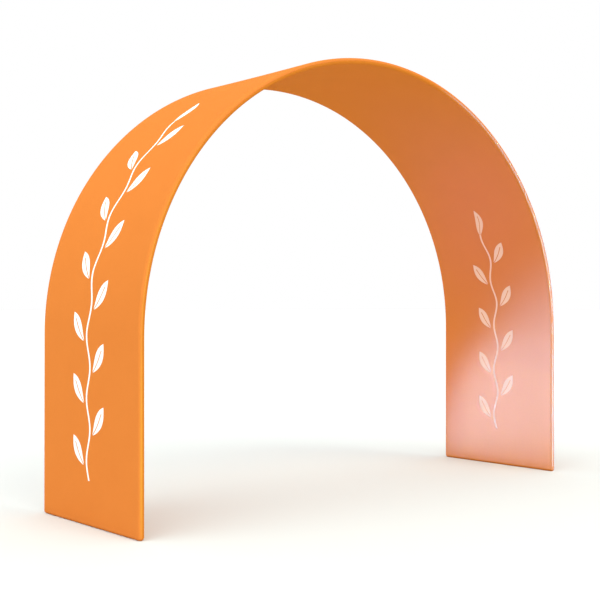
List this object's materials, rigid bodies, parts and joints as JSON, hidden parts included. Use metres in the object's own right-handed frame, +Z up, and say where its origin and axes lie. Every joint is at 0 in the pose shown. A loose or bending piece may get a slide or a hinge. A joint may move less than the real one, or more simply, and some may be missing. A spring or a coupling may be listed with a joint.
{
  "type": "cloth display arch with tube frame",
  "caption": "Free-standing walk-through display arch: an orange stretch-cloth sleeve pulled drum-tight over a tube frame with straight legs and a half-elliptical crown.",
  "frame": {"origin": "on the floor, in the middle of the passage, below the centre of the crown", "axes": "+Z up, +X across the passage from the left leg to the right leg, +Y through the passage from the front to the back"},
  "size_m": [3.14, 0.9, 2.4],
  "materials": {
    "cloth_outside": "smooth stretch knit, softly sheened, in warm orange",
    "cloth_inside": "smooth stretch knit, softly sheened, in warm orange",
    "tube": "drawn and anodised, satin",
    "elbow": "moulded nylon, matt black"
  },
  "bodies": {
    "root": {"outer_panel": "cloth_outside", "inner_panel": "cloth_inside", "bow_front": "tube", "bow_back": "tube", "leg_tube_front_left": "tube", "leg_tube_front_right": "tube", "leg_tube_back_left": "tube", "leg_tube_back_right": "tube", "foot_bar_left": "tube", "foot_bar_right": "tube", "spreader_left_leg": "tube", "spreader_left_haunch": "tube", "spreader_crown": "tube", "spreader_right_haunch": "tube", "spreader_right_leg": "tube", "elbow_front_left": "elbow", "elbow_front_right": "elbow", "elbow_back_left": "elbow", "elbow_back_right": "elbow"}
  },
  "joints": []
}
